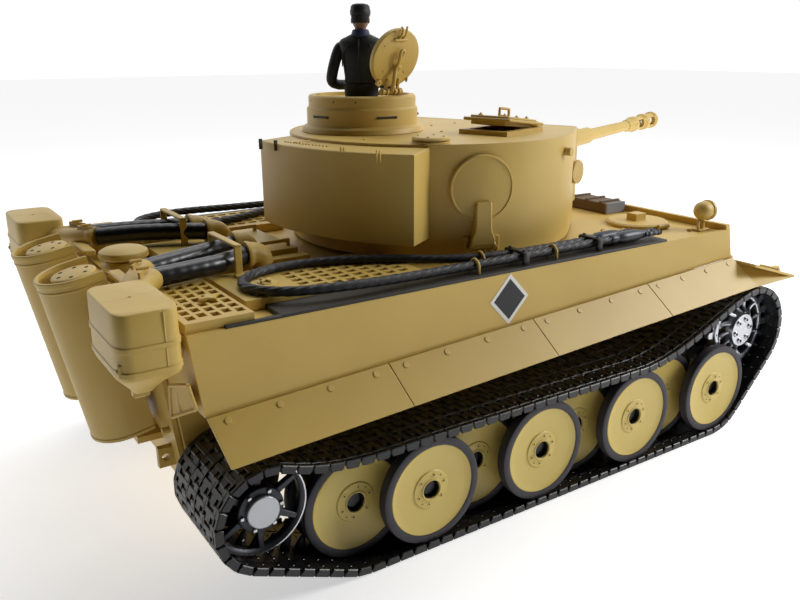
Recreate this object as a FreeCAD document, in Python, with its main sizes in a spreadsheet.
import FreeCAD, Part
import math
import os
import re
import Sketcher

# A 1/16 radio-controlled model tank, resting on its tracks, gun forward.
# Row frame: millimetres, +X to the front of the hull, +Y to its left, +Z up.
# The ground is z = 0.  Hull pieces are drawn about the middle of the superstructure
# and turret pieces about the turret's axis; each node's Placement puts them in the row.

doc = FreeCAD.newDocument("rc_tank")

# ---------------------------------------------------------------- driving sizes

SIZES = {
    # where the hull sits in the row
    "hull_mid_x": (-62.64, "middle of the superstructure, from the middle of the whole length"),
    # hull shell
    "shell_wall": (2.2, "wall of the moulded hull and turret"),
    "hull_half_width": (98.6, "outer face of a side plate"),
    "side_top": (114.5, "top edge of the side plates"),
    "deck_top": (113.6, "upper face of the hull roof"),
    "roof_rear": (-155.3, "rear end of the roof"),
    "roof_front": (146.6, "front end of the roof"),
    "base_rear": (-151.2, "rear end of the side plate's lower edge"),
    "base_front": (151.2, "front end of the side plate's lower edge"),
    "base_rear_height": (82.6, "height of the side plate's lower edge at the rear"),
    "base_front_height": (98.1, "height of the side plate's lower edge at the front"),
    "lip_height": (117.2, "top of the front plate, proud of the roof"),
    "tub_half_width": (60.0, "outer face of the lower hull's side"),
    "tub_bottom": (29.4, "belly of the lower hull"),
    "tub_joint": (82.5, "height of the joint between the two hull halves at the rear"),
    "tub_rear": (-139.0, "rear end of the belly"),
    "tub_nose": (150.0, "front end of the belly"),
    "nose_reach": (180.0, "foremost point of the nose"),
    "nose_height": (60.0, "height of the nose's foremost edge"),
    # skirts and mudguards
    "skirt_reach": (114.2, "outer lower edge of a side skirt"),
    "skirt_rear_height": (67.9, "skirt's lower edge at the rear"),
    "skirt_front_height": (84.2, "skirt's lower edge at the front"),
    "skirt_rear": (-148.6, "rear lower corner of the skirt"),
    "skirt_front": (156.1, "front lower corner of the skirt"),
    "skirt_sheet": (1.2, "thickness of a skirt panel"),
    "panel_joint_rear": (-73.9, "rearmost joint between skirt panels, at their top edge"),
    "panel_joint_middle": (4.4, "middle joint between skirt panels"),
    "panel_joint_front": (81.6, "foremost joint between skirt panels"),
    "skirt_gap": (0.5, "gap between two skirt panels"),
    "bolt_radius": (1.3, "radius of a skirt bolt's head"),
    # running gear
    "axle_first": (135.7, "front road wheel's axle"),
    "axle_pitch": (32.2, "distance between two axles"),
    "ride_gap": (0.0, "height of the lowest links above the ground"),
    "wheel_radius": (24.7, "radius of a road wheel over its tyre"),
    "wheel_width": (5.0, "width of one wheel disc"),
    "tyre_height": (3.6, "height of the tyre's section"),
    "layer_outer": (109.3, "outer face of the outermost discs"),
    "layer_second": (99.7, "outer face of the second discs"),
    "layer_third": (85.0, "outer face of the third discs"),
    "layer_inner": (74.2, "outer face of the innermost discs"),
    "stub_radius": (3.2, "radius of a swing arm's stub axle"),
    "running_gap": (0.06, "radial clearance of a turning fit"),
    "sprocket_x": (163.0, "drive sprocket's axis"),
    "sprocket_height": (55.0, "height of the sprocket's axis"),
    "sprocket_radius": (22.6, "radius of a sprocket ring"),
    "sprocket_track": (25.9, "radius of the track's pins on the sprocket"),
    "sprocket_face": (104.0, "outer face of the sprocket's hub"),
    "drive_shaft_radius": (2.5, "radius of the gearbox's output shaft"),
    "idler_x": (-133.4, "idler wheel's axis"),
    "idler_height": (40.6, "height of the idler's axis"),
    "idler_radius": (19.9, "radius of the idler's rims"),
    # tracks
    "track_outer": (111.3, "outer ends of the track links"),
    "track_inner": (66.0, "inner ends of the track links"),
    "link_thickness": (2.0, "thickness of a track link"),
    "link_gap": (0.4, "gap between two links"),
    "link_seat": (0.6, "gap from a wheel to the links that bend round it"),
    "link_count": (108.0, "links in one track"),
    "horn_height": (6.4, "height of a guide horn"),
    # turret
    "turret_x": (18.6, "turret's axis, from the middle of the superstructure"),
    "turret_rest_angle": (18.3, "traverse at rest, to the left"),
    "turret_radius": (75.0, "outer radius of the horseshoe wall"),
    "turret_bottom": (115.3, "lower edge of the turret wall"),
    "turret_top": (167.6, "upper edge of the turret wall"),
    "turret_front": (57.0, "front face of the turret"),
    "front_half_width": (57.0, "half width of the turret's front face"),
    "ring_radius": (58.0, "radius of the turret ring's opening"),
    "bin_half_width": (48.0, "half width of the stowage bin"),
    "bin_corner": (78.6, "rear corners of the stowage bin, behind the axis"),
    "bin_rear": (89.0, "rearmost point of the stowage bin, behind the axis"),
    "bin_bottom": (124.8, "underside of the stowage bin"),
    "cupola_x": (-26.5, "cupola's axis, ahead of the turret's"),
    "cupola_y": (25.5, "cupola's axis, left of the turret's"),
    "cupola_radius": (28.8, "outer radius of the cupola's drum"),
    "cupola_top": (186.0, "top of the cupola's drum"),
    "cupola_bore": (13.2, "radius of the cupola's opening"),
    "cupola_hinge": (24.0, "hatch hinge, from the cupola's axis"),
    "cupola_lid": (14.4, "radius of the cupola's hatch"),
    # gun
    "trunnion_x": (46.0, "gun's trunnions, ahead of the turret's axis"),
    "trunnion_height": (144.5, "height of the trunnions"),
    "gun_rest_angle": (1.4, "elevation at rest"),
    "muzzle_reach": (310.5, "muzzle, ahead of the turret's axis"),
    "barrel_radius": (5.7, "radius of the barrel's thick part"),
    "barrel_thin": (3.8, "radius of the barrel's thin part"),
    "brake_radius": (7.0, "radius of the muzzle brake"),
    "bore_radius": (2.6, "radius of the gun's bore"),
    # rear plate and engine deck
    "grille_top": (118.1, "upper face of the engine deck plates"),
    "grille_half_width": (96.2, "outer edge of the engine deck plates"),
    "tray_inner": (82.6, "inner edge of the strip under a tow cable"),
    "muffler_y": (26.0, "exhaust muffler's axis, from the middle"),
    "muffler_radius": (10.2, "radius of a muffler"),
    "muffler_top": (126.0, "top of the mufflers and their shields"),
    "shield_bottom": (53.5, "lower edge of the muffler shields"),
    "shield_radius": (14.6, "outer radius of a muffler shield"),
    "filter_x": (-169.6, "air filter's axis"),
    "filter_y": (86.0, "air filter's axis, from the middle"),
    "filter_top": (127.6, "top of the air filters"),
    "filter_half_width": (21.5, "half width of an air filter"),
    "filter_depth": (22.4, "fore-and-aft size of an air filter"),
}

sheet = doc.addObject("Spreadsheet::Sheet", "Sizes")
for row, (name, (amount, meaning)) in enumerate(SIZES.items(), start=1):
    sheet.set("A%d" % row, str(amount))
    sheet.setAlias("A%d" % row, name)
    sheet.set("B%d" % row, meaning)
doc.recompute()


def size(name):
    """The sheet's value of one driving size."""
    return float(getattr(sheet, name))


def bound(rule):
    """An expression whose size names point at the sheet."""
    return re.sub(r"[a-z]+(?:_[a-z]+)+", lambda found: "Sizes." + found.group(0), rule)


def give(obj, prop, rule):
    """Set a property to a number, or bind it to the sheet when the rule is a string."""
    if isinstance(rule, str):
        obj.setExpression(prop, bound(rule))
    else:
        obj.setExpression(prop, repr(float(rule)))


def place(obj, x=0.0, y=0.0, z=0.0, axis=None, angle=0.0):
    """Bind an object's Placement: an offset, and a turn about one axis."""
    if axis is not None:
        obj.Placement = FreeCAD.Placement(FreeCAD.Vector(0, 0, 0), FreeCAD.Rotation(FreeCAD.Vector(*axis), 10))
        give(obj, "Placement.Rotation.Angle", angle)
    for letter, rule in (("x", x), ("y", y), ("z", z)):
        give(obj, "Placement.Base." + letter, rule)
    return obj


# ---------------------------------------------------------------- building blocks

def box(name, x, y, z, long, wide, tall):
    """A box from its lowest corner and its three sizes."""
    piece = doc.addObject("Part::Box", name)
    give(piece, "Length", long)
    give(piece, "Width", wide)
    give(piece, "Height", tall)
    return place(piece, x, y, z)


def cylinder(name, radius, tall, x=0.0, y=0.0, z=0.0, along="z"):
    """A cylinder that starts at a point and runs along +X, +Y, -Y or +Z."""
    piece = doc.addObject("Part::Cylinder", name)
    give(piece, "Radius", radius)
    give(piece, "Height", tall)
    turns = {"z": None, "x": ((0, 1, 0), 90), "y": ((1, 0, 0), -90), "-y": ((1, 0, 0), 90)}
    turn = turns[along]
    if turn is None:
        return place(piece, x, y, z)
    return place(piece, x, y, z, turn[0], turn[1])


def cone(name, low_radius, high_radius, tall, x=0.0, y=0.0, z=0.0, along="z"):
    """A cone that starts at a point and runs along +X or +Z."""
    piece = doc.addObject("Part::Cone", name)
    give(piece, "Radius1", low_radius)
    give(piece, "Radius2", high_radius)
    give(piece, "Height", tall)
    if along == "z":
        return place(piece, x, y, z)
    return place(piece, x, y, z, (0, 1, 0), 90)


def cut(name, base, *tools):
    """The base with the tools cut out of it."""
    tool = tools[0] if len(tools) == 1 else fuse(name + "_tools", *tools)
    piece = doc.addObject("Part::Cut", name)
    piece.Base = base
    piece.Tool = tool
    return piece


def fuse(name, *pieces):
    """Pieces joined into one solid."""
    piece = doc.addObject("Part::MultiFuse", name)
    piece.Shapes = list(pieces)
    return piece


def group(name, *pieces):
    """Separate solids kept together as one node."""
    piece = doc.addObject("Part::Compound", name)
    piece.Links = list(pieces)
    return piece


def mirrored(name, source):
    """The same piece on the hull's other side."""
    piece = doc.addObject("Part::Mirroring", name)
    piece.Source = source
    piece.Normal = (0, 1, 0)
    return piece


def outline_sketch(body, name, plane, corners):
    """A closed outline on one of the body's own planes, every corner bound to the sheet."""
    sketch = body.newObject("Sketcher::SketchObject", name)
    support = [feature for feature in body.Origin.OriginFeatures if feature.Role == plane][0]
    sketch.AttachmentSupport = [(support, "")]
    sketch.MapMode = "FlatFace"
    count = len(corners)
    ring = [FreeCAD.Vector(50 * math.cos(2 * math.pi * i / count), 50 * math.sin(2 * math.pi * i / count), 0)
            for i in range(count)]
    for i in range(count):
        sketch.addGeometry(Part.LineSegment(ring[i], ring[(i + 1) % count]), False)
    for i in range(count):
        sketch.addConstraint(Sketcher.Constraint("Coincident", i, 2, (i + 1) % count, 1))
    for i, (across, up) in enumerate(corners):
        for kind, rule in (("DistanceX", across), ("DistanceY", up)):
            start = ring[i].x if kind == "DistanceX" else ring[i].y
            index = sketch.addConstraint(Sketcher.Constraint(kind, -1, 1, i, 1, start))
            give(sketch, "Constraints[%d]" % index, rule)
    return sketch


def prism(name, plane, corners, low, high):
    """An outline padded between two distances along the plane's world axis."""
    body = doc.addObject("PartDesign::Body", name)
    sketch = outline_sketch(body, name + "_outline", plane, corners)
    backwards = plane == "XZ_Plane"
    offset = "-(%s)" % high if backwards else "%s" % low
    give(sketch, "AttachmentOffset.Base.z", offset)
    pad = body.newObject("PartDesign::Pad", name + "_pad")
    pad.Profile = sketch
    give(pad, "Length", "(%s) - (%s)" % (high, low))
    body.Tip = pad
    return body


def lathe(name, corners):
    """An outline of (radius, distance) corners turned about +Z."""
    body = doc.addObject("PartDesign::Body", name)
    sketch = outline_sketch(body, name + "_outline", "XZ_Plane", corners)
    turned = body.newObject("PartDesign::Revolution", name + "_turned")
    turned.Profile = sketch
    turned.ReferenceAxis = (sketch, ["V_Axis"])
    turned.Angle = 360
    body.Tip = turned
    return body


NODES = []


def hull_node(label, piece, x="0"):
    """Name a finished node and put it in the row from hull coordinates."""
    give(piece, "Placement.Base.x", "hull_mid_x + %s" % x)
    piece.Label = label
    NODES.append(piece)
    return piece


def turret_node(label, piece):
    """Name a finished node and put it in the row from turret coordinates."""
    place(piece, "hull_mid_x + turret_x", 0, 0, (0, 0, 1), "turret_rest_angle * 1 deg")
    piece.Label = label
    NODES.append(piece)
    return piece


def gun_node(label, piece):
    """Name a finished node and put it in the row from trunnion coordinates."""
    swing = FreeCAD.Rotation(FreeCAD.Vector(0, 0, 1), size("turret_rest_angle"))
    lift = FreeCAD.Rotation(FreeCAD.Vector(0, 1, 0), -size("gun_rest_angle"))
    piece.Placement = FreeCAD.Placement(FreeCAD.Vector(0, 0, 0), swing * lift)
    give(piece, "Placement.Base.x",
         "hull_mid_x + turret_x + trunnion_x * cos(turret_rest_angle * 1 deg)")
    give(piece, "Placement.Base.y", "trunnion_x * sin(turret_rest_angle * 1 deg)")
    give(piece, "Placement.Base.z", "trunnion_height")
    piece.Label = label
    NODES.append(piece)
    return piece


# ---------------------------------------------------------------- lower hull

# the rear end of both hull halves leans: it runs forward as it goes down
AXLE_HEIGHT = "(ride_gap + wheel_radius + link_seat + link_thickness)"

REAR_LEAN = "(base_rear - roof_rear) / (side_top - base_rear_height)"


def rear_at(height):
    """Rule for the rear face of the hull at a height."""
    return "(roof_rear + (side_top - (%s)) * %s)" % (height, REAR_LEAN)


def tub_outline(inset, over):
    """Side view of the lower hull, moved inwards by one rule and raised at its open top by another."""
    low = "tub_bottom + %s" % inset
    return [
        (rear_at("tub_joint") + " + %s" % inset, "tub_joint + %s" % over),
        (rear_at("tub_bottom") + " + %s" % inset, low),
        ("tub_nose - %s * 0.4" % inset, low),
        ("nose_reach - %s * 1.3" % inset, "nose_height"),
        ("nose_reach - 4 - %s * 1.3" % inset, "nose_height + 18"),
        ("base_front - 2.8 - %s * 1.3" % inset, "base_front_height - 0.3 + %s" % over),
    ]


def lower_hull():
    """Open tub with bores for the drive shafts, bosses for the deck screws and a switch slot."""
    shell = cut(
        "tub_shell",
        prism("tub_outer", "XZ_Plane", tub_outline("0", "0"), "-tub_half_width", "tub_half_width"),
        prism("tub_inner", "XZ_Plane", tub_outline("shell_wall", "3"),
              "-tub_half_width + shell_wall", "tub_half_width - shell_wall"),
    )
    bore = cylinder("shaft_bores", "drive_shaft_radius + 3.5", "2 * tub_half_width + 10",
                    "sprocket_x", "-tub_half_width - 5", "sprocket_height", "y")
    slot = box("switch_slot", -63.5, -3, "tub_bottom - 1", 8, 6, "shell_wall + 5")
    switch_case = box("switch_case", -66, -5, "tub_bottom + shell_wall - 0.1", 12, 10, 6)
    door = box("battery_doorway", -30, -28, "tub_bottom - 1", 84, 56, "shell_wall + 2")
    bosses = [cylinder("deck_boss_%d" % i, 4, "tub_joint - tub_bottom - shell_wall + 0.2", x, y,
                       "tub_bottom + shell_wall - 0.2")
              for i, (x, y) in enumerate([(-128, 50), (-128, -50), (96, 50), (96, -50)])]
    tub = cut("tub_with_openings", fuse("tub_with_switch_case", shell, switch_case), bore, slot, door)
    return hull_node("lower_hull", fuse("lower_hull_body", tub, *bosses))


def battery_door():
    """Flush cover over the battery bay, held by a screw at each end."""
    cover = box("battery_cover", -29.6, -27.6, "tub_bottom", 83.2, 55.2, "shell_wall")
    ribs = [box("battery_cover_rib_%d" % i, -22 + 24 * i, -20, "tub_bottom + shell_wall - 0.1", 2, 40, 3)
            for i in range(4)]
    return hull_node("battery_door", fuse("battery_door_body", cover, *ribs))


# ---------------------------------------------------------------- upper hull

def side_slope(x_rule):
    """Rule for the side plate's lower edge at a station."""
    return ("(base_rear_height + ((%s) - base_rear) * (base_front_height - base_rear_height)"
            " / (base_front - base_rear))" % x_rule)


def upper_hull():
    """Superstructure shell: roof, side plates, front plate and sponson floors."""
    outer = prism("super_outer", "XZ_Plane", [
        ("roof_rear", "deck_top"), ("base_rear", "base_rear_height"),
        ("base_front", "base_front_height"), ("roof_front", "deck_top"),
    ], "-hull_half_width", "hull_half_width")
    inner = prism("super_inner", "XZ_Plane", [
        ("roof_rear + shell_wall", "deck_top - shell_wall"),
        ("base_rear + shell_wall", "base_rear_height + shell_wall"),
        ("base_front - shell_wall", "base_front_height + shell_wall"),
        ("roof_front - shell_wall", "deck_top - shell_wall"),
    ], "-hull_half_width + shell_wall", "hull_half_width - shell_wall")
    well = box("super_well", "base_rear + shell_wall", "-tub_half_width + shell_wall", 60,
               "base_front - base_rear - 2 * shell_wall", "2 * (tub_half_width - shell_wall)", 42)
    cavity = fuse("super_cavity", inner, well)
    ring = cylinder("ring_opening", "ring_radius", 12, "turret_x", 0, "deck_top - 6")
    hatches = [cylinder("hatch_opening_%d" % i, "15", 12, 121, y, "deck_top - 6")
               for i, y in enumerate((-57.5, 57.5))]
    bay = box("engine_bay_opening", -132, -33, "deck_top - 6", 60, 66, 12)
    vents = [box("vent_opening_%d_%d" % (i, j), x, y if y > 0 else y - 40, "deck_top - 6", long, 40, 12)
             for i, (x, long) in enumerate(((-150, 18), (-104, 50))) for j, y in enumerate((48, -48))]
    shell = cut("super_shell", outer, cavity, ring, bay, *hatches, *vents)
    rims = [prism("side_rim_%d" % i, "XZ_Plane", [
        ("roof_rear", "side_top"), ("roof_rear", "deck_top - 1"),
        ("roof_front", "deck_top - 1"), ("roof_front", "side_top"),
    ], low, high) for i, (low, high) in enumerate((
        ("hull_half_width - shell_wall", "hull_half_width"), ("-hull_half_width", "-hull_half_width + shell_wall")))]
    lip = prism("front_lip", "XZ_Plane", [
        ("roof_front - shell_wall * 1.2", "lip_height"), ("base_front - shell_wall * 1.2", "base_front_height"),
        ("base_front + 0.4", "base_front_height"), ("roof_front + 0.4", "lip_height"),
    ], "-hull_half_width", "hull_half_width")
    return hull_node("upper_hull", fuse("upper_hull_body", shell, lip, *rims))


def rear_plate():
    """Sloping plate across the hull's rear, with the muffler seats, tow lugs and its bolts."""
    plate = prism("rear_plate_sheet", "XZ_Plane", [
        (rear_at("side_top - 2") + " - 0.3", "side_top - 2"),
        (rear_at("tub_bottom + 4") + " - 0.3", "tub_bottom + 4"),
        (rear_at("tub_bottom + 4") + " - 0.3 - shell_wall", "tub_bottom + 4"),
        (rear_at("side_top - 2") + " - 0.3 - shell_wall", "side_top - 2"),
    ], "-tub_half_width + 3", "tub_half_width - 3")
    pieces = [plate]
    for i, y in enumerate((-46, 46)):
        lug = box("tow_lug_%d" % i, rear_at("44") + " - 9", y - 1.5, 40, 8, 3, 9)
        eye = cylinder("tow_lug_eye_%d" % i, 1.6, 6, rear_at("44") + " - 6", y - 3, 44.5, "y")
        pieces.append(cut("tow_lug_bored_%d" % i, lug, eye))
    for i, y in enumerate(("muffler_y", "-muffler_y")):
        pieces.append(box("muffler_seat_%d" % i, rear_at("shield_bottom") + " - 12.5", "%s - 9" % y,
                          "shield_bottom - 6", 12, 18, 3))
    for i, y in enumerate((-50, -8, 8, 50)):
        pieces.append(cylinder("rear_bolt_%d" % i, 1.4, 3.4, rear_at("60") + " - 5.2", y, 58, "x"))
    return hull_node("rear_plate", fuse("rear_plate_body", *pieces))


def panel_solid(corners, side):
    """A skirt panel: a leaning sheet between two stations."""
    half, reach, sheet_wall = size("hull_half_width") + 0.3, size("skirt_reach"), size("skirt_sheet")
    rings = []
    for x_top, x_low, top, low in corners:
        upper = FreeCAD.Vector(x_top, side * half, top)
        lower = FreeCAD.Vector(x_low, side * (reach - sheet_wall), low)
        outwards = FreeCAD.Vector(0, side * sheet_wall, 0.3)
        rings.append([upper, lower, lower + outwards, upper + outwards])
    first, last = rings
    faces = [Part.Face(Part.makePolygon(ring + ring[:1])) for ring in rings]
    for i in range(4):
        j = (i + 1) % 4
        faces.append(ruled(first[i], first[j], last[j], last[i]))
    solid = Part.makeSolid(Part.makeShell(faces))
    if solid.Volume < 0:
        solid.reverse()
    return solid


def ruled(a, b, c, d):
    """The face between edge a-b and edge d-c."""
    return Part.makeRuledSurface(Part.LineSegment(a, b).toShape(), Part.LineSegment(d, c).toShape())


def skirts():
    """Four leaning panels on each side, each with four round bolts."""
    top_low, top_high = size("base_rear"), size("base_front")
    low_low, low_high = size("skirt_rear"), size("skirt_front")
    heights_top = (size("base_rear_height"), size("base_front_height"))
    heights_low = (size("skirt_rear_height"), size("skirt_front_height"))
    stations = [size(name) for name in ("panel_joint_rear", "panel_joint_middle", "panel_joint_front")]
    joints = [0.0] + [(station - top_low) / (top_high - top_low) for station in stations] + [1.0]
    gap = size("skirt_gap") / (top_high - top_low)
    solids = []
    for side in (-1, 1):
        for i in range(4):
            shares = (joints[i] + gap / 2, joints[i + 1] - gap / 2)
            corners = [(top_low + (top_high - top_low) * share, low_low + (low_high - low_low) * share,
                        heights_top[0] + (heights_top[1] - heights_top[0]) * share,
                        heights_low[0] + (heights_low[1] - heights_low[0]) * share) for share in shares]
            panel = panel_solid(corners, side)
            bolts = []
            for step in (0.09, 0.36, 0.64, 0.91):
                share = shares[0] + (shares[1] - shares[0]) * step
                foot = FreeCAD.Vector(
                    top_low + (top_high - top_low) * share, side * (size("hull_half_width") + 2.6),
                    heights_top[0] + (heights_top[1] - heights_top[0]) * share - 2.6)
                out = FreeCAD.Vector(0, side * 0.72, 0.69)
                bolts.append(Part.makeCylinder(size("bolt_radius"), 2.4, foot - out * 0.9, out))
            solids.append(panel.fuse(bolts))
    piece = doc.addObject("Part::Feature", "side_skirts_body")
    piece.Shape = Part.makeCompound(solids)
    return hull_node("side_skirts", piece)


def mudguards():
    """Front and rear guards over the tracks, one sloping sheet with a flange at each corner."""
    pieces = []
    front = prism("front_guard_sheet", "XZ_Plane", [
        ("base_front + 1.2", "base_front_height - 1"), ("base_front + 1.2", "base_front_height - 2.4"),
        ("base_front + 41", "base_front_height - 14.4"), ("base_front + 41", "base_front_height - 13"),
    ], "-skirt_reach + 1", "-track_inner + 2")
    ribs = [cylinder("front_guard_hinge_%d" % i, 1.1, 12, "base_front + 27", y, "base_front_height - 8.6", "y")
            for i, y in enumerate((-110, -82))]
    guard = fuse("front_guard_right", front, *ribs)
    rear = prism("rear_guard_sheet", "XZ_Plane", [
        (rear_at("base_rear_height") + " - 0.4", "base_rear_height - 1"),
        (rear_at("base_rear_height") + " - 0.4", "base_rear_height - 2.4"),
        (rear_at("base_rear_height") + " - 9", "base_rear_height - 12.4"),
        (rear_at("base_rear_height") + " - 9", "base_rear_height - 11"),
    ], "-hull_half_width", "-track_inner + 2")
    pieces = [guard, rear, mirrored("front_guard_left", guard), mirrored("rear_guard_left", rear)]
    return hull_node("mudguards", group("mudguards_body", *pieces))


# ---------------------------------------------------------------- running gear

def wheel_layers(outers):
    """Two discs with tyres and the hub tube between them, drawn about +Z as the outward axis."""
    wide, tall = "wheel_width", "tyre_height"
    solids = []
    high = outers[0]
    for i, outer in enumerate(outers):
        rim = "wheel_radius - %s" % tall
        disc = lathe("wheel_disc_%s" % outer, [
            ("stub_radius + running_gap", outer + " - %s" % wide), (rim, outer + " - %s" % wide),
            (rim, outer), (rim + " - 1.2", outer), (rim + " - 6", outer + " - 1.6"),
            ("9", outer + " - 1.6"), ("8", outer + " - 0.6"), ("stub_radius + running_gap", outer + " - 0.6"),
        ])
        tyre = lathe("wheel_tyre_%s" % outer, [
            (rim, outer + " - %s" % wide), ("wheel_radius - 0.5", outer + " - %s" % wide),
            ("wheel_radius", outer + " - %s + 0.5" % wide), ("wheel_radius", outer + " - 0.5"),
            ("wheel_radius - 0.5", outer), (rim, outer),
        ])
        solids += [disc, tyre]
    low = outers[1]
    hub = lathe("wheel_hub_%s" % high, [
        ("stub_radius + running_gap", low), ("6.2", low),
        ("6.2", "%s - %s" % (high, wide)), ("stub_radius + running_gap", "%s - %s" % (high, wide)),
    ])
    return group("wheel_%s" % high, *solids, hub)


def road_wheels():
    """Eight axles on each side; odd axles carry the outermost and innermost discs."""
    masters = [wheel_layers(("layer_outer", "layer_inner")), wheel_layers(("layer_second", "layer_third"))]
    for side_name, turn in (("right", 90), ("left", -90)):
        for axle in range(8):
            wheel = group("road_wheel_%s_%d_body" % (side_name, axle + 1), masters[axle % 2])
            place(wheel, 0, 0, AXLE_HEIGHT, (1, 0, 0), turn)
            hull_node("road_wheel_%s_%d" % (side_name, axle + 1), wheel,
                      "axle_first - %d * axle_pitch" % axle)


def sprocket_body():
    """Hub, two rings and the output shaft, drawn about +Z as the outward axis."""
    outer = lathe("sprocket_outer", [
        ("drive_shaft_radius", "sprocket_face - 10"), ("sprocket_radius - 4", "sprocket_face - 6.5"),
        ("sprocket_radius", "sprocket_face - 6.5"), ("sprocket_radius", "sprocket_face - 3.5"),
        ("sprocket_radius - 4", "sprocket_face - 3.5"), ("10", "sprocket_face - 5.5"),
        ("9.2", "sprocket_face"), ("drive_shaft_radius", "sprocket_face"),
    ])
    inner = lathe("sprocket_inner", [
        ("drive_shaft_radius", "sprocket_face - 29.5"), ("sprocket_radius", "sprocket_face - 29"),
        ("sprocket_radius", "sprocket_face - 26"), ("10", "sprocket_face - 24"),
        ("7", "sprocket_face - 10"), ("drive_shaft_radius", "sprocket_face - 10"),
    ])
    shaft = cylinder("sprocket_shaft", "drive_shaft_radius", "sprocket_face - 30.2", 0, 0, 30)
    return group("sprocket_body", outer, inner, shaft)


def idler_body():
    """Cap, hub and two rims, drawn about +Z as the outward axis."""
    rim = lathe("idler_outer", [
        ("stub_radius + running_gap", "sprocket_face - 7.5"), ("idler_radius - 1.5", "sprocket_face - 7.5"),
        ("idler_radius", "sprocket_face - 7"), ("idler_radius", "sprocket_face - 4"),
        ("idler_radius - 2.5", "sprocket_face - 4"), ("9.4", "sprocket_face - 2.5"),
        ("9.4", "sprocket_face - 1.4"), ("stub_radius + running_gap", "sprocket_face - 1.4"),
    ])
    inner = lathe("idler_inner", [
        ("stub_radius + running_gap", "sprocket_face - 32"), ("idler_radius - 1.5", "sprocket_face - 31"),
        ("idler_radius", "sprocket_face - 30.5"), ("idler_radius", "sprocket_face - 28"),
        ("7.5", "sprocket_face - 26"), ("6.5", "sprocket_face - 7.5"),
        ("stub_radius + running_gap", "sprocket_face - 7.5"),
    ])
    cap = cylinder("idler_cap", 6.7, 1.6, 0, 0, "sprocket_face - 1.4")
    return group("idler_body", rim, inner, cap)


def end_wheels():
    """Drive sprockets at the front and idlers at the rear."""
    makers = (("sprocket", sprocket_body(), "sprocket_x", "sprocket_height"),
              ("idler", idler_body(), "idler_x", "idler_height"))
    for kind, master, station, height in makers:
        for side_name, turn in (("right", 90), ("left", -90)):
            wheel = group("%s_%s_node" % (kind, side_name), master)
            place(wheel, 0, 0, height, (1, 0, 0), turn)
            hull_node("%s_%s" % (kind, side_name), wheel, station)


def suspension():
    """Swing arms with their stub axles, the torsion bars across the hull, and the idler's crank."""
    pieces = []
    for axle in range(8):
        x = "axle_first - %d * axle_pitch" % axle
        reach = "layer_outer - 3.6" if axle % 2 == 0 else "layer_second - 3.6"
        pin = cylinder("stub_axle_%d" % axle, "stub_radius", "%s - tub_half_width - 1" % reach,
                       x, "-tub_half_width - 1", AXLE_HEIGHT, "-y")
        eye = cylinder("arm_eye_%d" % axle, 5, 3.4, x, "-tub_half_width - 1", AXLE_HEIGHT, "-y")
        root = cylinder("arm_root_%d" % axle, 4.4, 3.4, x + " - 21", "-tub_half_width - 1",
                        AXLE_HEIGHT + " + 10", "-y")
        web = prism("arm_web_%d" % axle, "XZ_Plane", [
            (x + " - 1.5", AXLE_HEIGHT + " - 4"), (x + " + 1.5", AXLE_HEIGHT + " + 4"),
            (x + " - 19.5", AXLE_HEIGHT + " + 14"), (x + " - 22.5", AXLE_HEIGHT + " + 6"),
        ], "-tub_half_width - 4.4", "-tub_half_width - 1")
        pieces.append(fuse("swing_arm_%d" % axle, pin, eye, root, web))
    crank = fuse(
        "idler_crank",
        cylinder("idler_pin", "stub_radius", "sprocket_face - 2.4 - tub_half_width - 1", "idler_x",
                 "-tub_half_width - 1", "idler_height", "-y"),
        cylinder("idler_crank_eye", 6, 3.4, "idler_x", "-tub_half_width - 1", "idler_height", "-y"),
    )
    pieces.append(crank)
    right = group("suspension_right", *pieces)
    return hull_node("suspension_arms", group("suspension_body", right, mirrored("suspension_left", right)))


def arc_points(circle, start, end):
    """Points round a circle, clockwise from one angle to another."""
    x, z, radius = circle
    while end > start:
        end -= 2 * math.pi
    steps = max(2, int((start - end) * radius / 0.4))
    turns = [start + (end - start) * k / steps for k in range(steps + 1)]
    return [(x + radius * math.cos(turn), z + radius * math.sin(turn)) for turn in turns]


def sagging(start, slope, goal):
    """A cubic from a point with a given slope to a point where it lies level."""
    (x0, z0), (x1, z1) = start, goal
    span = x1 - x0
    points = []
    for k in range(1, 41):
        share = k / 40
        rise = (2 * share ** 3 - 3 * share ** 2 + 1) * z0 + (3 * share ** 2 - 2 * share ** 3) * z1
        rise += (share ** 3 - 2 * share ** 2 + share) * span * slope
        points.append((x0 + span * share, rise))
    return points


def axle_height():
    """Height of the road wheels' axles above the ground."""
    return size("ride_gap") + size("wheel_radius") + size("link_seat") + size("link_thickness")


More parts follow.
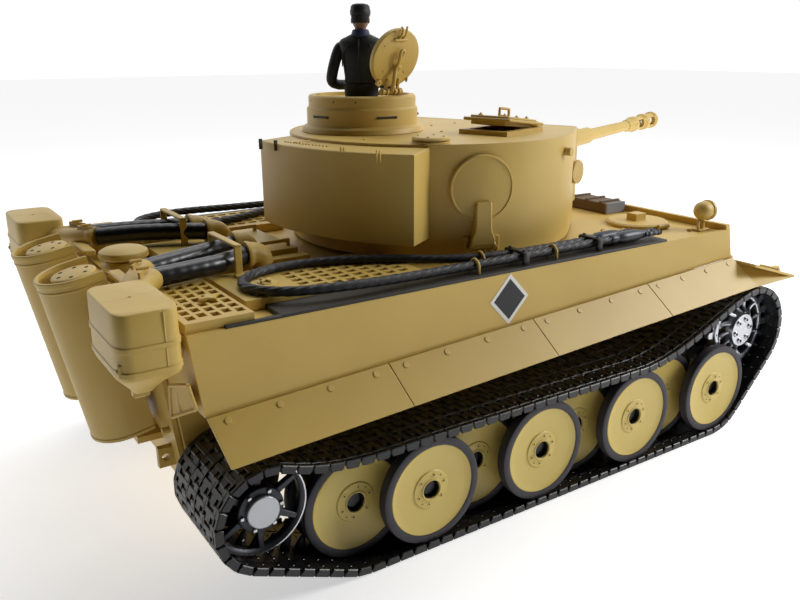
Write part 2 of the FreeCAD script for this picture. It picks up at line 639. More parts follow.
def track_path():
    """The pin line round one track: under the wheels, up over the idler, back along the wheel tops."""
    half = size("link_thickness") / 2
    wheel = size("wheel_radius") + size("link_seat") + half
    axle = size("axle_first")
    sprocket = (size("sprocket_x"), size("sprocket_height"), size("sprocket_track"))
    first = (axle, axle_height(), wheel)
    last = (axle - 7 * size("axle_pitch"), axle_height(), wheel)
    idler = (size("idler_x"), size("idler_height"), size("idler_radius") + size("link_seat") + half)

    def tangent(a, b):
        tilt = math.acos((a[2] - b[2]) / math.hypot(b[0] - a[0], b[1] - a[1]))
        return math.atan2(b[1] - a[1], b[0] - a[0]) + tilt

    lift = math.radians(16)
    fall = math.radians(22)
    bottom = -math.pi / 2
    to_first, to_idler = tangent(sprocket, first), tangent(last, idler)
    points = arc_points(sprocket, math.pi / 2 + lift, to_first)
    points += arc_points(first, to_first, bottom)
    points += arc_points(last, bottom - 0.0001, to_idler)
    points += arc_points(idler, to_idler, math.pi / 2 - fall)
    level = axle_height() + wheel + 0.3
    rest_rear = (axle - 6 * size("axle_pitch"), level)
    rest_front = (axle - 2 * size("axle_pitch"), level)
    points += sagging(points[-1], -math.tan(fall), rest_rear)
    points.append(rest_front)
    points += reversed(sagging(points[0], math.tan(lift), rest_front)[:-1])
    return points


def along(points, count):
    """Equally spaced places and headings on a closed line."""
    closed = points + points[:1]
    lengths = [0.0]
    for (x0, z0), (x1, z1) in zip(closed, closed[1:]):
        lengths.append(lengths[-1] + math.hypot(x1 - x0, z1 - z0))
    total = lengths[-1]
    places = []
    k = 0
    for i in range(count + 1):
        goal = total * (i % count) / count
        if i % count == 0:
            k = 0
        while lengths[k + 1] <= goal:
            k += 1
        share = (goal - lengths[k]) / (lengths[k + 1] - lengths[k])
        (x0, z0), (x1, z1) = closed[k], closed[k + 1]
        places.append((x0 + (x1 - x0) * share, z0 + (z1 - z0) * share))
    return places


def track():
    """All links of the right track, each its own solid, laid round the wheels."""
    count = int(size("link_count"))
    places = along(track_path(), count)
    thick, gap = size("link_thickness"), size("link_gap")
    inner, outer = size("track_inner"), size("track_outer")
    middle = (size("layer_second") - size("wheel_width") + size("layer_third")) / 2
    solids = []
    for i in range(count):
        (x0, z0), (x1, z1) = places[i], places[i + 1]
        chord = math.hypot(x1 - x0, z1 - z0)
        long = chord - gap
        plate = Part.makeBox(long, outer - inner, thick, FreeCAD.Vector(-long / 2, -outer, -thick / 2))
        horn = Part.makeCone(2.6, 1.1, size("horn_height"), FreeCAD.Vector(0, -middle, -thick / 2 + 0.01),
                             FreeCAD.Vector(0, 0, -1))
        link = plate.fuse(horn)
        heading = math.degrees(math.atan2(-(z1 - z0), x1 - x0))
        link.Placement = FreeCAD.Placement(
            FreeCAD.Vector((x0 + x1) / 2, 0, (z0 + z1) / 2), FreeCAD.Rotation(FreeCAD.Vector(0, 1, 0), heading))
        solids.append(link)
    piece = doc.addObject("Part::Feature", "track_right_body")
    piece.Shape = Part.makeCompound(solids)
    return piece


def tracks():
    """Both tracks, the left one the mirror image of the right one."""
    right = track()
    left = mirrored("track_left_body", right)
    hull_node("track_left", left)
    hull_node("track_right", group("track_right_node", right))


# ---------------------------------------------------------------- inside the hull

def gearboxes():
    """A gearbox and motor for each track, side by side in the nose."""
    case = box("gearbox_case", "sprocket_x - 34", 6, "sprocket_height - 5", 36, "tub_half_width - shell_wall - 7", 17)
    bore = cylinder("gearbox_bore", "drive_shaft_radius + running_gap", 80, "sprocket_x", 0, "sprocket_height", "y")
    motor = cylinder("motor_can", 10, 34, "sprocket_x - 68.2", 22, "sprocket_height + 4", "x")
    left = group("gearbox_left", cut("gearbox_bored", case, bore), motor)
    return hull_node("gearboxes", group("gearboxes_body", left, mirrored("gearbox_right", left)))


def inside_blocks():
    """Battery, control board, speaker, smoke unit and the traverse gearbox."""
    floor = "tub_bottom + shell_wall"
    battery = box("battery_cells", -28, -24, floor + " + 4.4", 78, 48, 20)
    hull_node("battery_pack", battery)
    board = box("board_card", -40, -36, "tub_joint + 4", 60, 72, 1.6)
    chips = [box("board_chip_%d" % i, -34 + 18 * (i % 3), -28 + 30 * (i // 3), "tub_joint + 5.5", 10, 14, 3)
             for i in range(6)]
    posts = [cylinder("board_post_%d" % i, 2, "tub_joint + 4 - (%s)" % floor, x, y, floor)
             for i, (x, y) in enumerate([(-36, -33), (-36, 33), (16, -33), (16, 33)])]
    hull_node("control_board", fuse("control_board_body", board, *chips, *posts))
    basket = cone("speaker_basket", 8, 20, 14, -104, 0, floor + " + 8")
    magnet = cylinder("speaker_magnet", 9, 8.2, -104, 0, floor)
    hull_node("speaker", fuse("speaker_body", basket, magnet))
    smoker = box("smoke_case", -134, -20, "tub_joint - 26", 14, 40, 22)
    leg = box("smoke_leg", -130, -4, floor, 6, 8, "tub_joint - 25 - (%s)" % floor)
    hull_node("smoke_unit", fuse("smoke_unit_body", smoker, leg))
    knob = fuse("switch_knob", box("switch_stem", -61.7, -1.5, "tub_bottom + 0.4", 2.4, 3, 4.6),
                box("switch_tip", -62.5, -2.2, "tub_bottom + 0.4", 4, 4.4, 1.8))
    hull_node("power_switch", knob)


def turret_ring():
    """Bearing ring screwed under the roof, with the traverse motor beside it."""
    ring = cut("ring_body", cylinder("ring_outer", "ring_radius + 3.5", 5, "turret_x", 0, "deck_top - shell_wall - 5.3"),
               cylinder("ring_inner", "ring_radius - 4", 8, "turret_x", 0, "deck_top - shell_wall - 6.5"))
    motor = cylinder("traverse_motor", 8, 12, -52, -30, "deck_top - shell_wall - 12.4")
    return hull_node("turret_ring", group("turret_ring_node", ring, motor))


def deck_screws():
    """Four screws up through the belly into the deck bosses, and two that hold the battery door."""
    screws = []
    for i, (x, y) in enumerate([(-128, 50), (-128, -50), (96, 50), (96, -50)]):
        screws.append(cylinder("hull_screw_%d" % i, 2.6, 1.2, x, y, "tub_bottom - 1.3"))
    for i, x in enumerate((-24, 48)):
        screws.append(cylinder("door_screw_%d" % i, 2, 1, x, 0, "tub_bottom - 1.1"))
    return hull_node("hull_screws", group("hull_screws_node", *screws))


# ---------------------------------------------------------------- engine deck

def deck_plates():
    """Raised plates over the engine bay's sides: corner grilles and slotted grilles with a filler cover."""
    pieces = []
    for i, (low, long, reach) in enumerate(((-155.0, 26.0, "grille_half_width"), (-126.5, 81.0, "tray_inner"))):
        plate = box("deck_plate_%d" % i, low, "-%s" % reach, "deck_top + 0.2", long,
                    "%s - 42" % reach, "grille_top - deck_top - 0.2")
        slots = []
        if i == 0:
            for column in range(5):
                for line in range(7):
                    slots.append(box("corner_slot_%d_%d" % (column, line), -152.5 + 4.7 * column,
                                     -92.5 + 6.6 * line + 1.6 * (column % 2), "deck_top - 1", 3.2, 4.4, 8))
        else:
            for column in range(8):
                for line in range(6):
                    slots.append(box("slat_slot_%d_%d" % (column, line), -99.5 + 6.4 * column,
                                     -80 + 5.6 * line, "deck_top - 1", 4.4, 3.4, 8))
            pieces.append(cylinder("filler_cover", 5.5, 1.4, -112, -68, "grille_top + 0.05"))
            slots.append(cylinder("turret_swing", "front_half_width * 2 ^ 0.5 + 0.8", 12, "turret_x", 0,
                                  "deck_top - 1"))
        pieces.append(cut("deck_plate_cut_%d" % i, plate, *slots))
    right = group("deck_plates_right", *pieces)
    return hull_node("deck_grilles", group("deck_grilles_body", right, mirrored("deck_plates_left", right)))


def engine_hatch():
    """Raised cover over the engine bay, with two grab handles."""
    slab = box("engine_cover", -131, -32, "deck_top + 0.2", 58, 64, "grille_top - deck_top - 0.2")
    raised = box("engine_cover_raised", -92.5, -25, "grille_top - 0.1", 17, 50, 2.6)
    pieces = [slab, raised]
    for i, y in enumerate((-19, 19)):
        bar = box("handle_bar_%d" % i, -91, y - 0.8, "grille_top + 4.2", 14, 1.6, 1.6)
        feet = [box("handle_foot_%d_%d" % (i, k), x, y - 0.8, "grille_top + 2.4", 1.6, 1.6, 2.2)
                for k, x in enumerate((-91, -78.6))]
        pieces += [bar] + feet
    cap = lathe("vent_cap", [
        ("0", "0"), ("7.6", "0"), ("7.6", "2"), ("10", "2.6"), ("10", "4.6"), ("8", "6.4"), ("0", "7.2"),
    ])
    place(cap, -148.5, 0, "deck_top")
    return hull_node("engine_hatch", group("engine_hatch_node", fuse("engine_hatch_body", *pieces), cap))


def air_filters():
    """Canister air cleaners on the rear corners: upright drum, tapered foot and bracket."""
    drum_low = 102
    corners = [(-0.5, -0.62), (-0.22, -1), (0.22, -1), (0.5, -0.62), (0.5, 0.62), (0.22, 1), (-0.22, 1), (-0.5, 0.62)]
    plan = [("filter_x + filter_depth * %s" % a, "-filter_y + filter_half_width * %s" % b) for a, b in corners]
    drum = prism("filter_drum", "XY_Plane", plan, drum_low, "filter_top")
    foot = cone("filter_foot", 3, 10, 10, "filter_x + 1", "-filter_y + 2", drum_low - 9.9)
    bracket = box("filter_bracket", "filter_x + filter_depth * 0.5 - 0.2", "-filter_y - 8", 106,
                  "roof_rear - 0.4 - filter_x - filter_depth * 0.5", 16, 7)
    right = fuse("filter_right", drum, foot, bracket)
    return hull_node("air_filters", group("air_filters_node", right, mirrored("filter_left", right)))


def hose(name, points, radius):
    """A tube of straight runs and tangent arcs, each arc as large as its runs allow."""
    route = [FreeCAD.Vector(*point) for point in points]
    edges = []
    start = route[0]
    for before, corner, after in zip(route, route[1:], route[2:]):
        come, go = (corner - before), (after - corner)
        turn = come.getAngle(go)
        back = 0.45 * min(come.Length, go.Length)
        entry = corner - come.normalize() * back
        leave = corner + go.normalize() * back
        bend = back / math.tan(turn / 2)
        print("%s bend radius %.1f" % (name, bend))
        inward = (go - come).normalize()
        middle = corner + inward * (bend / math.cos(turn / 2) - bend)
        edges.append(Part.LineSegment(start, entry).toShape())
        edges.append(Part.Arc(entry, middle, leave).toShape())
        start = leave
    edges.append(Part.LineSegment(start, route[-1]).toShape())
    path = Part.Wire(edges)
    heading = (route[1] - route[0]).normalize()
    ring = Part.Wire(Part.makeCircle(radius, route[0], heading))
    tube = path.makePipeShell([ring], True, True)
    shift = abs(tube.Volume - math.pi * radius ** 2 * path.Length) / tube.Volume
    if shift > 0.02:
        raise ValueError("%s: the tube's volume is off by %.3f" % (name, shift))
    return tube


def filter_hoses():
    """Four rubber hoses from the air filters to the engine cover, with their elbows."""
    top = size("grille_top")
    solids = []
    for side in (-1, 1):
        for name, points in (
            ("outer hose", [(-147, 47, 5.9), (-133, 46, 6.3), (-118, 42, 6.1), (-106, 36, 5.3)]),
            ("inner hose", [(-146, 33, 6.5), (-132, 30, 7.3), (-117, 24, 7.1), (-104, 17, 5.9)]),
        ):
            route = [(x, side * y, z + top) for x, y, z in points]
            solids.append(hose(name, route, 4.2))
    piece = doc.addObject("Part::Feature", "filter_hoses_body")
    piece.Shape = Part.makeCompound(solids)
    return hull_node("filter_hoses", piece)


def hose_elbows():
    """Moulded elbows at both ends of the hoses and the strap over each pair."""
    pieces = []
    for i, (x, y) in enumerate(((-106, -36), (-104, -17))):
        outlet = cylinder("elbow_collar_%d" % i, 5.6, 7, x + 0.3, y, 123.6 if i == 0 else 124.2, "x")
        down = cylinder("elbow_drop_%d" % i, 5.2, "125 - grille_top", x + 5, y, "grille_top + 0.1")
        pieces.append(fuse("elbow_%d" % i, outlet, down))
    for i, (y, long) in enumerate(((-47, 12), (-33, 12))):
        inlet = cylinder("inlet_%d" % i, 4.8, long, -147.3 - long, y, 124 + 0.6 * i, "x")
        pieces.append(inlet)
    manifold = box("filter_manifold", -160, -66, 119.4, 6, 48, 8.7)
    duct = fuse("inlet_duct", manifold, *pieces[2:])
    right = group("elbows_right", pieces[0], pieces[1], duct)
    return hull_node("hose_elbows", group("hose_elbows_node", right, mirrored("elbows_left", right)))


def mufflers():
    """Two upright silencers with a bored cap each, leaning back with the rear plate."""
    lean = 11
    body = lathe("muffler_can", [
        ("0", "0"), ("muffler_radius - 1", "0"), ("muffler_radius", "1.5"),
        ("muffler_radius", "muffler_top - shield_bottom - 8"), ("muffler_radius - 1.2", "muffler_top - shield_bottom - 6"),
        ("muffler_radius - 1.2", "muffler_top - shield_bottom - 3"), ("0", "muffler_top - shield_bottom - 3"),
    ])
    holes = []
    for k in range(6):
        turn = math.radians(60 * k)
        holes.append(cylinder("muffler_hole_%d" % k, 1, 12, 6 * math.cos(turn), 6 * math.sin(turn),
                              "muffler_top - shield_bottom - 9"))
    can = cut("muffler_bored", body, *holes)
    right = group("muffler_right", can)
    place(right, rear_at("shield_bottom") + " - 14.5", "-muffler_y", "shield_bottom + 0.5", (0, 1, 0), -lean)
    seated = group("muffler_right_seated", right)
    return hull_node("exhaust_mufflers", group("mufflers_node", seated, mirrored("muffler_left", seated)))


def muffler_shields():
    """Sheet-metal half sleeves round the silencers, open towards the hull."""
    lean = 11
    tall = "muffler_top - shield_bottom"
    sleeve = cut("shield_sleeve",
                 fuse("shield_outer", cylinder("shield_round", "shield_radius", tall),
                      box("shield_arms", 0, "-shield_radius", 0, 9, "2 * shield_radius", tall)),
                 fuse("shield_inner", cylinder("shield_bore", "shield_radius - 1.2", "%s + 2" % tall, 0, 0, -1),
                      box("shield_mouth", 0, "-shield_radius + 1.2", -1, 20, "2 * shield_radius - 2.4", "%s + 2" % tall)))
    right = group("shield_right", sleeve)
    place(right, rear_at("shield_bottom") + " - 14.5", "-muffler_y", "shield_bottom + 0.3", (0, 1, 0), -lean)
    seated = group("shield_right_seated", right)
    return hull_node("exhaust_shields", group("shields_node", seated, mirrored("shield_left", seated)))


CABLE_RADIUS = 1.9


def tow_cables():
    """A tow cable down each deck edge: out, round a loop over the engine deck, and back."""
    level = size("side_top") + 4.4
    deck = size("grille_top") + 2.1
    route = [(62, -92.2, level), (30, -92.0, level), (-2, -92.4, level), (-34, -91.9, level),
             (-64, -92.6, level + 0.4), (-92, -92.2, deck), (-112, -87, deck), (-122, -76, deck),
             (-121, -63, deck), (-108, -53, deck), (-88, -51, deck), (-68, -57, deck), (-50, -67, deck),
             (-30, -78.4, level + 0.4), (-6, -85.2, level), (22, -86.8, level), (52, -86.4, level)]
    right = doc.addObject("Part::Feature", "tow_cable_right_body")
    right.Shape = hose("tow cable", route, CABLE_RADIUS)
    left = mirrored("tow_cable_left_body", right)
    ends = cable_ends(level)
    return hull_node("tow_cables", group("tow_cables_node", right, left, ends, mirrored("cable_ends_left", ends)))


def cable_ends(level):
    """Sockets with thimbles on one cable's ends, lying side by side near the front hatch."""
    pieces = []
    for i, (x, y) in enumerate(((62.1, -92.2), (52.1, -86.4))):
        sleeve = cone("socket_%d" % i, 2.1, 2.7, 22, x, y, level, "x")
        thimble = box("thimble_%d" % i, x + 21.9, y - 2.6, level - 2, 12, 5.2, 4)
        eye = cylinder("thimble_eye_%d" % i, 1.3, 8, x + 29, y, level - 4)
        pieces.append(cut("cable_end_%d" % i, fuse("cable_end_solid_%d" % i, sleeve, thimble), eye))
    return group("cable_ends_right", *pieces)


def cable_trays():
    """Dark strip along each deck edge under the cables, with the clamps that hold them."""
    pieces = [box("tray_strip", -118, "-hull_half_width + shell_wall + 0.3", "deck_top + 0.05", 200,
                  "hull_half_width - shell_wall - 0.6 - tray_inner",
                  "side_top - deck_top + 1.1")]
    for i, x in enumerate((2.8, 50)):
        foot = box("clamp_foot_%d" % i, x - 2, -95.6, "side_top + 1", 4, 12, 1.4)
        pieces.append(foot)
    for i, x in enumerate((2.8, 50)):
        bridge = box("clamp_bridge_%d" % i, x - 2, -95.6, "side_top + 6.5", 4, 12, 1)
        post = box("clamp_post_%d" % i, x - 2, -95.6, "side_top + 1", 4, 1, 6.4)
        pieces += [bridge, post]
    right = fuse("tray_right", *pieces)
    return hull_node("cable_trays", group("cable_trays_node", right, mirrored("tray_left", right)))


# ---------------------------------------------------------------- front deck

def headlamps():
    """A round lamp on a short stand at each front corner."""
    drum = cylinder("lamp_drum", 5, 8, 132.5, -88.5, "deck_top + 10.6", "x")
    rim = cylinder("lamp_rim", 5.5, 1.6, 139.5, -88.5, "deck_top + 10.6", "x")
    stand = cylinder("lamp_stand", 1.5, 7, 137, -88.5, "deck_top + 0.1")
    foot = box("lamp_foot", 133.5, -91, "deck_top + 0.1", 7, 5, 1)
    right = fuse("lamp_right", drum, rim, stand, foot)
    return hull_node("headlamps", group("headlamps_node", right, mirrored("lamp_left", right)))


def hull_front_fittings():
    """Ball mount of the hull machine gun and the driver's visor on the front plate."""
    ball = doc.addObject("Part::Sphere", "gun_ball")
    give(ball, "Radius", 7.5)
    place(ball, "base_front + 1", -48, 104)
    stub = cylinder("hull_gun_tube", 1.4, 18, "base_front + 5", -48, 104, "x")
    visor = box("visor_block", "base_front - 0.4", 34, 101.5, 5, 28, 8)
    fittings = fuse("fittings_solid", ball, stub)
    keep = box("fittings_room", "base_front + 0.8", -70, 90, 40, 140, 40)
    gun = doc.addObject("Part::Common", "hull_gun_solid")
    gun.Base = fittings
    gun.Tool = keep
    return hull_node("hull_gun_and_visor", group("fittings_node", gun, visor))


def deck_box():
    """Ribbed stowage box between the two front hatches."""
    case = box("deck_box_case", 126, -30, "deck_top + 0.1", 16, 34, 6.6)
    ribs = [box("deck_box_rib_%d" % i, 126, -26 + 12 * i, "deck_top + 6.6", 16, 2, 0.9) for i in range(3)]
    return hull_node("deck_box", fuse("deck_box_body", case, *ribs))


def front_hatch(label, side):
    """Round crew hatch with a periscope hood, hinged at its outer edge."""
    disc = lathe(label + "_disc", [("0", "0.15"), ("17", "0.15"), ("17", "1.6"), ("15.8", "2.4"), ("0", "2.4")])
    hood = box(label + "_hood", -5, -3.4, 2.3, 8, 6.8, 4)
    knuckle = cylinder(label + "_knuckle", 1.3, 8, -4, 18, 1.5, "x")
    tongue = box(label + "_tongue", -2.5, 14, 0.9, 5, 4.4, 1.2)
    hatch = fuse(label + "_solid", disc, hood, knuckle, tongue)
    if side < 0:
        hatch = mirrored(label + "_mirror", hatch)
    seated = group(label + "_seated", hatch)
    place(seated, 121, 57.5 * side, "deck_top")
    return hull_node(label, group(label + "_node", seated))


# ---------------------------------------------------------------- turret

def turret_plan(inset, front):
    """Horseshoe plan: the wall's circle, with sides that run straight to the front."""
    reach = "(turret_radius - %s)" % inset
    corners = []
    for turn in range(66, 301, 6):
        angle = math.radians(turn)
        corners.append(("%s * %.6f" % (reach, math.cos(angle)), "%s * %.6f" % (reach, math.sin(angle))))
    corners = [corner for corner, turn in zip(corners, range(66, 301, 6)) if turn <= 294]
    corners.append((front, "-front_half_width + %s" % inset))
    corners.append((front, "front_half_width - %s" % inset))
    return corners


ESCAPE_ANGLE = -126


def turret_shell():
    """Horseshoe wall and roof, open below and at the front, with the trunnion bearings."""
    wall = "shell_wall"
    outer = prism("turret_outer", "XY_Plane", turret_plan("0", "turret_front"), "turret_bottom", "turret_top")
    inner = prism("turret_inner", "XY_Plane", turret_plan(wall, "turret_front + 5"),
                  "turret_bottom - 1", "turret_top - shell_wall")
    hollow = cut("turret_hollow", outer, inner)
    openings = [
        cylinder("cupola_hole", "cupola_bore + 6", 12, "cupola_x", "cupola_y", "turret_top - 6"),
        box("loader_hole", -8, -50, "turret_top - 6", 28, 20, 12),
        place(group("escape_opening", cylinder("escape_hole", 13.6, 30, "turret_radius * 0.75", 0, 148, "x")),
              0, 0, 0, (0, 0, 1), ESCAPE_ANGLE),
    ]
    shell = cut("turret_cut", hollow, *openings)
    cheeks = []
    for i, side in enumerate((-1, 1)):
        low = "-front_half_width" if side < 0 else "front_half_width - 9"
        cheeks.append(box("turret_cheek_%d" % i, "turret_front - 9", low, "turret_bottom", 9, 9,
                          "turret_top - turret_bottom"))
        bearing = box("trunnion_block_%d" % i, "trunnion_x - 7", -46 if side < 0 else 40, "trunnion_height - 7",
                      14, 6, "turret_top - trunnion_height + 6")
        hole = cylinder("trunnion_hole_%d" % i, "4 + running_gap", 8, "trunnion_x", -47 if side < 0 else 39,
                        "trunnion_height", "y")
        cheeks.append(cut("trunnion_bearing_%d" % i, bearing, hole))
    spigot = cut("ring_spigot", cylinder("spigot_outer", "ring_radius - 4.5", "turret_bottom + 2 - deck_top + shell_wall + 7",
                                         0, 0, "deck_top - shell_wall - 7"),
                 cylinder("spigot_inner", "ring_radius - 7", 20, 0, 0, "deck_top - shell_wall - 8"))
    floor = cut("turret_floor", prism("floor_sheet", "XY_Plane", turret_plan(wall + " - 0.2", "turret_front - 12"),
                                      "turret_bottom", "turret_bottom + 2"),
                cylinder("floor_hole", "ring_radius - 7", 8, 0, 0, "turret_bottom - 3"))
    vent = lathe("roof_fan", [("0", "0"), ("8.8", "0"), ("8.8", "1"), ("7.4", "1.4"), ("7.4", "2.6"), ("0", "3")])
    place(vent, -54, -39, "turret_top - 0.1")
    port = cylinder("side_port", 6.2, 2.2, 44, -63.6, 145, "-y")
    lift = [cylinder("lifting_stud_%d" % i, 2, 4.4, x, y, z, "-y" if y < 0 else "y")
            for i, (x, y, z) in enumerate(((10, -73.6, 160), (10, 73.6, 160)))]
    return turret_node("turret_shell", fuse("turret_body", shell, *cheeks, spigot, floor, vent, port, *lift, loader_coaming()))


def stowage_bin():
    """Curved bin wrapped round the turret's rear, two lids on top."""
    rear_radius = "((bin_half_width ^ 2 + (bin_rear - bin_corner) ^ 2) / (2 * (bin_rear - bin_corner)))"
    block = box("bin_block", "-bin_rear - 5", "-bin_half_width", "bin_bottom", "bin_rear - 30",
                "2 * bin_half_width", "turret_top - bin_bottom - 1")
    rear = cylinder("bin_rear_round", rear_radius, "turret_top - bin_bottom - 1",
                    "-bin_rear + %s" % rear_radius, 0, "bin_bottom")
    curved = doc.addObject("Part::Common", "bin_curved")
    curved.Base = block
    curved.Tool = rear
    clear = cylinder("bin_wall_clear", "turret_radius + 0.15", "turret_top - bin_bottom + 4", 0, 0, "bin_bottom - 2")
    shell = cut("bin_shell", curved, clear)
    hollow_block = box("bin_hollow_block", "-bin_rear - 5", "-bin_half_width + 2", "bin_bottom + 2",
                       "bin_rear - 30", "2 * bin_half_width - 4", "turret_top - bin_bottom - 4.6")
    hollow_rear = cylinder("bin_hollow_rear", rear_radius + " - 2", 80, "-bin_rear + %s" % rear_radius, 0, "bin_bottom")
    hollow = doc.addObject("Part::Common", "bin_hollow_curved")
    hollow.Base = hollow_block
    hollow.Tool = hollow_rear
    room = cut("bin_hollow", hollow, cylinder("bin_front_wall", "turret_radius + 2.2", 90, 0, 0, "bin_bottom - 5"))
    window = box("bin_window", -82, 2, "turret_top - 6", 7, 9, 10)
    return turret_node("stowage_bin", cut("stowage_bin_body", shell, room, window))


HATCH_SIDE = -102.3
HATCH_OPEN = 109


def hatch_ray(rule):
    """Rules for the point at a distance from the cupola's axis towards the hatch's hinge."""
    across = math.radians(HATCH_SIDE)
    return ("cupola_x + (%s) * %.6f" % (rule, math.cos(across)), "cupola_y + (%s) * %.6f" % (rule, math.sin(across)))


def cupola():
    """Drum cupola: flange, stepped drum with vision slits, and a sunk top plate with the opening."""
    wall, sunk, plate = "cupola_radius - 4.4", "cupola_top - 1.8", "cupola_top - 4.4"
    drum = lathe("cupola_drum", [
        (wall, "turret_top + 0.1"), ("cupola_radius + 3", "turret_top + 0.1"),
        ("cupola_radius + 2.4", "turret_top + 2.4"), ("cupola_radius", "turret_top + 3.6"),
        ("cupola_radius", "cupola_top - 6.6"), ("cupola_radius - 1", "cupola_top - 5.6"),
        ("cupola_radius - 1", "cupola_top - 1"), ("cupola_radius - 2", "cupola_top"),
        (wall, "cupola_top"), (wall, sunk), ("0", sunk), ("0", plate), (wall, plate),
    ])
    place(drum, "cupola_x", "cupola_y", 0)
    cuts = [cylinder("cupola_opening", "cupola_bore", 20, *hatch_ray("cupola_hinge - 1.8 - cupola_lid"),
                     "cupola_top - 10")]
    for k in range(5):
        slit = box("vision_slit_%d" % k, "cupola_radius - 2.2", -5.5, "cupola_top - 10.6", 4, 11, 1)
        turned = group("vision_slit_turned_%d" % k, slit)
        cuts.append(place(turned, "cupola_x", "cupola_y", 0, (0, 0, 1), 72 * k + 30))
    return turret_node("cupola", cut("cupola_body", drum, *cuts))


def cupola_hatch():
    """Round hatch standing open on its hinge, with the arm over its back and the spring barrel."""
    disc = lathe("hatch_disc", [
        ("0", "-3.6"), ("cupola_lid - 1.4", "-3.6"), ("cupola_lid", "-3"), ("cupola_lid", "-1.4"),
        ("cupola_lid - 1", "-0.9"), ("0", "-0.8"),
    ])
    place(disc, "cupola_lid + 1.8", 0, 0)
    arm = box("hatch_arm", 0, -1.3, -1, 22, 2.6, 2)
    barrel = cylinder("hatch_hinge_barrel", 1.6, 14, 0, -7, 0, "y")
    hatch = fuse("hatch_solid", disc, arm, barrel)
    closed = place(group("hatch_closed", hatch), 0, 0, 0, (0, 1, 0), -HATCH_OPEN)
    stood = group("hatch_stood", closed)
    place(stood, *hatch_ray("cupola_hinge"), "cupola_top + 2.2", (0, 0, 1), HATCH_SIDE + 180)
    return turret_node("cupola_hatch", group("cupola_hatch_node", stood))


FIGURE_FACES = 32


def commander():
    """Half figure of the commander, standing in the cupola's opening."""
    trunk = cone("figure_trunk", 7.4, 10.4, 29, 0, 0, "cupola_top - 6")
    shoulders = lathe("figure_shoulders", [("0", "0"), ("10.4", "0"), ("9.8", "3.6"), ("5", "6"), ("0", "6.4")])
    place(shoulders, 0, 0, "cupola_top + 22.9")
    head = doc.addObject("Part::Sphere", "figure_head")
    give(head, "Radius", 5.6)
    place(head, 0, 0, "cupola_top + 36.4")
    neck = cylinder("figure_neck", 3.2, 6, 0, 0, "cupola_top + 27")
    cap = cylinder("figure_cap", 5.8, 4, 0, 0, "cupola_top + 40.2")
    foot = cylinder("figure_foot", 7.4, 14, 0, 0, "cupola_top - 19.5")
    stand = cylinder("figure_stand", 11, 1.6, 0, 0, "cupola_top - 21")
    arms = []
    for i, side in enumerate((-1, 1)):
        arms.append(cylinder("figure_arm_%d" % i, 3, 19, 0, side * 12, "cupola_top + 6.5"))
        joint = doc.addObject("Part::Sphere", "figure_shoulder_%d" % i)
        give(joint, "Radius", 3.4)
        arms.append(place(joint, 0, side * 11.2, "cupola_top + 25"))
        fore = cylinder("figure_forearm_%d" % i, 2.4, 12, 0, side * 11.8, "cupola_top + 7", "x")
        arms.append(fore)
    figure = fuse("figure_solid", trunk, shoulders, head, neck, cap, foot, stand, *arms)
    stood = group("figure_stood", figure)
    place(stood, "cupola_x - 4.2", "cupola_y - 3.3", 0, (0, 0, 1), FIGURE_FACES)
    return turret_node("commander_figure", group("commander_node", stood))


def loader_coaming():
    """Raised coaming round the loader's opening in the roof."""
    return cut("coaming_body", box("coaming_outer", -12, -54, "turret_top - 0.1", 36, 28, 2.3),
               box("coaming_inner", -8.5, -50.5, "turret_top - 2", 29, 21, 8))


LOADER_AJAR = 7


def loader_hatch():
    """Rectangular hatch hinged at its front edge, slightly ajar, with a grab handle and bolts."""
    lid = box("loader_lid", -35, -13.5, 0, 35, 27, 1.8)
    raised = box("loader_lid_raised", -32, -10.5, 1.7, 29, 21, 1.2)
    barrel = cylinder("loader_barrel", 1.3, 20, 0, -10, 0.9, "y")
    handle = [box("loader_handle", -25, -0.7, 6.2, 10, 1.4, 1.2), box("loader_handle_a", -25, -0.7, 2.8, 1.3, 1.4, 3.6),
              box("loader_handle_b", -16.3, -0.7, 2.8, 1.3, 1.4, 3.6)]
    bolts = [cylinder("loader_bolt_%d" % i, 1.1, 1, x, y, 2.8) for i, (x, y) in enumerate(((-29, -7), (-29, 7), (-7, -7), (-7, 7), (-11, 0)))]
    hatch = fuse("loader_solid", lid, raised, barrel, *handle, *bolts)
    tipped = group("loader_tipped", hatch)
    place(tipped, 25.4, -40, "turret_top + 2.4", (0, 1, 0), LOADER_AJAR)
    return turret_node("loader_hatch", group("loader_hatch_node", tipped))


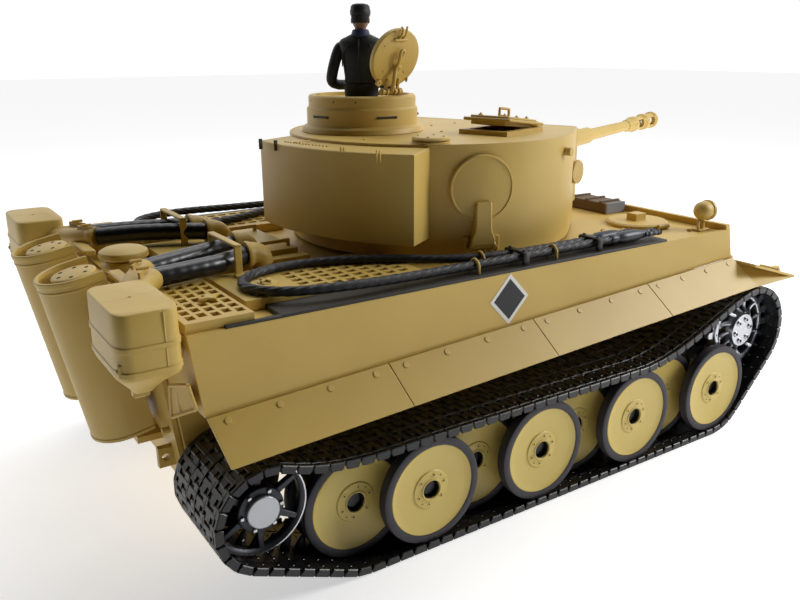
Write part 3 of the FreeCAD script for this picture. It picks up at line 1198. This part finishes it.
def escape_hatch():
    """Round hatch on the rear right of the wall, hinged below on a tapered arm."""
    bend = size("turret_radius")
    disc = Part.makeCylinder(15.4, 6, FreeCAD.Vector(bend - 2.4, 0, 26.4), FreeCAD.Vector(1, 0, 0))
    inner = Part.makeCylinder(bend + 0.3, 80, FreeCAD.Vector(0, 0, -20))
    outer = Part.makeCylinder(bend + 2.4, 80, FreeCAD.Vector(0, 0, -20))
    lid = disc.common(outer).cut(inner)
    arm_low, arm_high = 5.6, 3.8
    points = [FreeCAD.Vector(0, -arm_low, 0), FreeCAD.Vector(0, arm_low, 0),
              FreeCAD.Vector(0, arm_high, 21), FreeCAD.Vector(0, -arm_high, 21)]
    blade = Part.Face(Part.makePolygon(points + points[:1])).extrude(FreeCAD.Vector(2.6, 0, 0))
    blade = blade.translated(FreeCAD.Vector(bend + 1.5, 0, 0)).cut(inner)
    barrel = Part.makeCylinder(1.4, 10, FreeCAD.Vector(bend + 2.6, -5, 0), FreeCAD.Vector(0, 1, 0))
    piece = doc.addObject("Part::Feature", "escape_hatch_body")
    piece.Shape = lid.fuse([blade, barrel])
    piece.Placement = FreeCAD.Placement(
        FreeCAD.Vector(0, 0, 121.4), FreeCAD.Rotation(FreeCAD.Vector(0, 0, 1), ESCAPE_ANGLE))
    return turret_node("escape_hatch", group("escape_hatch_node", piece))


# ---------------------------------------------------------------- gun

def mantlet():
    """Mantlet plate on its trunnion shaft, with the collar the barrel slides in."""
    plate = box("mantlet_plate", "turret_front - trunnion_x + 5.5", -52, -20.5, 7, 104, 41)
    nose = cone("mantlet_nose", 15, 9.5, 12, "turret_front - trunnion_x + 12.4", 0, 0, "x")
    collar = cylinder("mantlet_collar", 8.2, 26, "turret_front - trunnion_x + 20", 0, 0, "x")
    shaft = cylinder("mantlet_shaft", 4, 91, 0, -45.5, 0, "y")
    beam = box("mantlet_beam", -6, -9, -8.5, "turret_front - trunnion_x + 12", 18, 17)
    sight = cylinder("mantlet_sight", 1.6, 5, "turret_front - trunnion_x + 12", 22, 5, "x")
    coax = cylinder("coaxial_tube", 1.2, 8, "turret_front - trunnion_x + 12", -20, 0, "x")
    knob = cylinder("mantlet_knob", 1.7, 8, "turret_front - trunnion_x + 12", -49.6, 0, "x")
    solid = fuse("mantlet_solid", plate, nose, collar, shaft, beam, sight, coax, knob)
    bore = cylinder("mantlet_bore", "barrel_radius + running_gap", 80, -20, 0, 0, "x")
    return gun_node("mantlet", cut("mantlet_body", solid, bore))


def gun_barrel():
    """Barrel with its thick and thin lengths, sliding in the mantlet, and the muzzle brake."""
    muzzle = "muzzle_reach - trunnion_x"
    tube = lathe("barrel_tube", [
        ("bore_radius", "-14"), ("barrel_radius", "-14"), ("barrel_radius", "191.5 - trunnion_x"),
        ("barrel_radius - 0.8", "192.5 - trunnion_x"), ("barrel_thin + 0.5", "193 - trunnion_x"),
        ("barrel_thin", muzzle + " - 52"), ("barrel_thin + 0.7", muzzle + " - 51"),
        ("barrel_thin + 0.7", muzzle + " - 47"), ("brake_radius - 1", muzzle + " - 40"),
        ("brake_radius - 1", muzzle + " - 37"), ("brake_radius - 2.2", muzzle + " - 36"),
        ("brake_radius - 2.2", muzzle + " - 23"), ("brake_radius - 0.6", muzzle + " - 20"),
        ("brake_radius - 0.6", muzzle + " - 16"), ("brake_radius - 1.6", muzzle + " - 15"),
        ("brake_radius - 1.6", muzzle + " - 4"), ("brake_radius - 0.4", muzzle + " - 2"),
        ("brake_radius - 0.4", muzzle), ("bore_radius", muzzle),
    ])
    windows = []
    for i, back in enumerate((35, 14)):
        windows.append(box("brake_window_%d" % i, -3, -12, "%s - %d" % (muzzle, back), 6, 24, 10))
    brake = cut("barrel_cut", tube, *windows)
    laid = group("barrel_laid", brake)
    laid.Placement = FreeCAD.Placement(FreeCAD.Vector(0, 0, 0), FreeCAD.Rotation(FreeCAD.Vector(0, 1, 0), 90))
    return gun_node("gun_barrel", group("gun_barrel_node", laid))


# ---------------------------------------------------------------- the whole model

def build():
    """Make every node."""
    lower_hull()
    upper_hull()
    rear_plate()
    skirts()
    mudguards()
    battery_door()
    road_wheels()
    end_wheels()
    suspension()
    tracks()
    gearboxes()
    inside_blocks()
    turret_ring()
    deck_screws()
    deck_plates()
    engine_hatch()
    air_filters()
    filter_hoses()
    hose_elbows()
    mufflers()
    muffler_shields()
    tow_cables()
    cable_trays()
    headlamps()
    hull_front_fittings()
    deck_box()
    front_hatch("driver_hatch", 1)
    front_hatch("radio_hatch", -1)
    turret_shell()
    stowage_bin()
    cupola()
    cupola_hatch()
    commander()
    loader_hatch()
    escape_hatch()
    mantlet()
    gun_barrel()


def check_and_write():
    """Stop on any failed object or bad shape, then write one file for each node."""
    doc.recompute()
    for obj in doc.Objects:
        if "Invalid" in obj.State or "Error" in obj.State:
            raise RuntimeError("%s failed: %s" % (obj.Name, obj.State))
    for node in NODES:
        if node.Shape.isNull() or not node.Shape.isValid():
            raise RuntimeError("%s has a bad shape" % node.Label)
    os.makedirs("parts", exist_ok=True)
    for node in NODES:
        node.Shape.exportStep("parts/%s.step" % node.Label)
    print("%d nodes written" % len(NODES))


build()
check_and_write()
